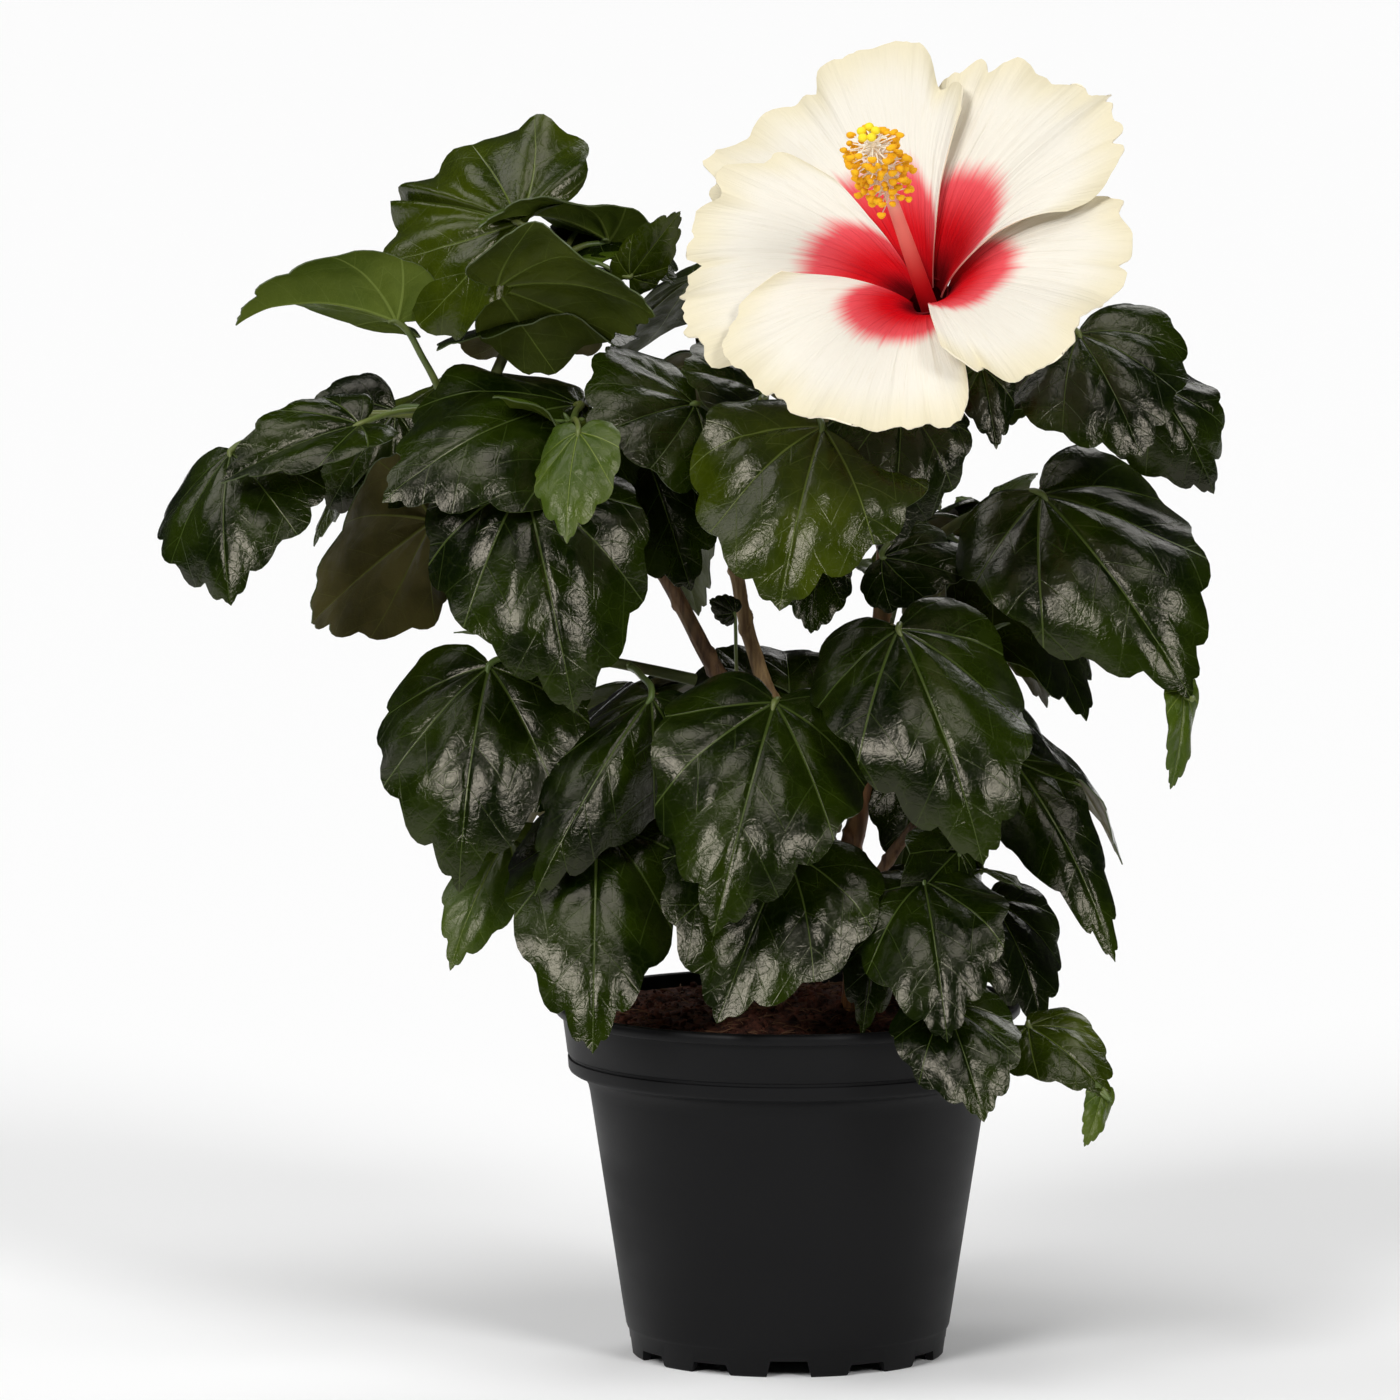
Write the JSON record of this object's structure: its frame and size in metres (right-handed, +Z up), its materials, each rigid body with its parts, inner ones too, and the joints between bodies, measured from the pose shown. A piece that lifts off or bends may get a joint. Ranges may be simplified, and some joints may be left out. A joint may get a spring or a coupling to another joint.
{
  "type": "potted hibiscus shrub",
  "caption": "Young hibiscus shrub with glossy scalloped leaves and one large cream bloom with a red eye, growing in a round black nursery pot.",
  "frame": {"origin": "middle of the pot's flat underside, on the surface it stands on", "axes": "+Z up, -Y the front that the bloom faces, +X to the right seen from the front"},
  "size_m": [0.303, 0.1965, 0.3675],
  "materials": {
    "pot_plastic": "satin",
    "peat": "matte",
    "bark": "matte",
    "leaf": "satin",
    "petal": "matte",
    "stamen": "matte"
  },
  "bodies": {
    "root": {"back_bough": "bark", "back_left_foliage": "leaf", "back_low_left_foliage": "leaf", "back_low_right_foliage": "leaf", "back_middle_foliage": "leaf", "back_right_foliage": "leaf", "back_top_foliage": "leaf", "bloom": "petal", "centre_foliage": "leaf", "flower_bough": "bark", "flower_column": "stamen", "flower_foot_foliage": "leaf", "inner_foliage": "leaf", "left_bough": "bark", "left_foliage": "leaf", "lower_centre_foliage": "leaf", "lower_left_foliage": "leaf", "lower_right_foliage": "leaf", "mid_left_foliage": "leaf", "middle_bough": "bark", "pot": "pot_plastic", "pot_rim_foliage": "leaf", "pot_side_foliage": "leaf", "right_bough": "bark", "right_foliage": "leaf", "soil": "peat", "top_left_foliage": "leaf", "trunk": "bark", "upper_right_foliage": "leaf"}
  },
  "joints": []
}
